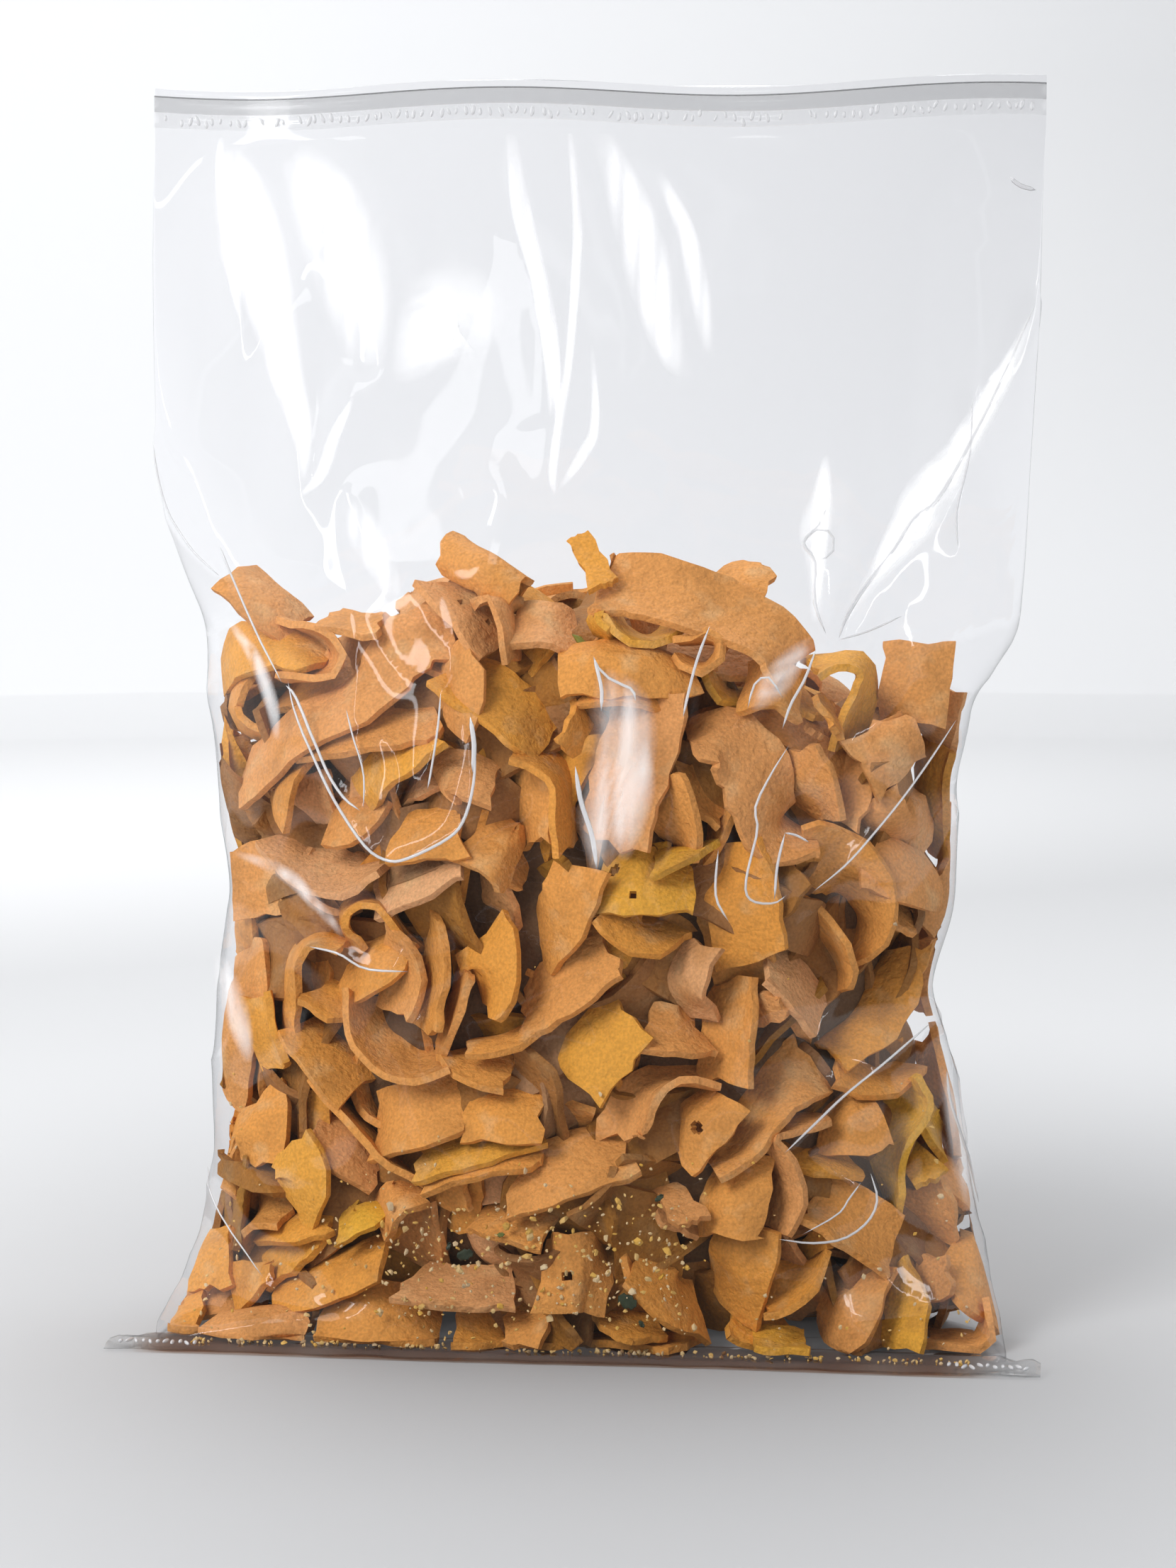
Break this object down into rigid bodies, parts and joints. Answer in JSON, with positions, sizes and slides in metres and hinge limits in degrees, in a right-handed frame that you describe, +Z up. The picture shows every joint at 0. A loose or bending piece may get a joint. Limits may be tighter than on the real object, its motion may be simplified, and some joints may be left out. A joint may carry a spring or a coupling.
{
  "type": "bag of murukku",
  "caption": "Clear film bag, sealed along the top and bottom, standing on its filled base and packed with flat, curled ribbon murukku under an empty headspace.",
  "frame": {"origin": "on the floor, under the middle of the bag's outline seen from above", "axes": "+Z up from the base to the top seal, +X along the seals to the right as the bag is seen from the front, -Y towards the front"},
  "size_m": [0.23, 0.1006, 0.3213],
  "materials": {
    "murukku": "matte fried dough, golden orange-brown",
    "film": "clear, colourless polypropylene film, glossy and creased",
    "curry_leaf": "fried curry leaf, dark green to black"
  },
  "bodies": {
    "root": {"bag": "murukku"}
  },
  "joints": []
}
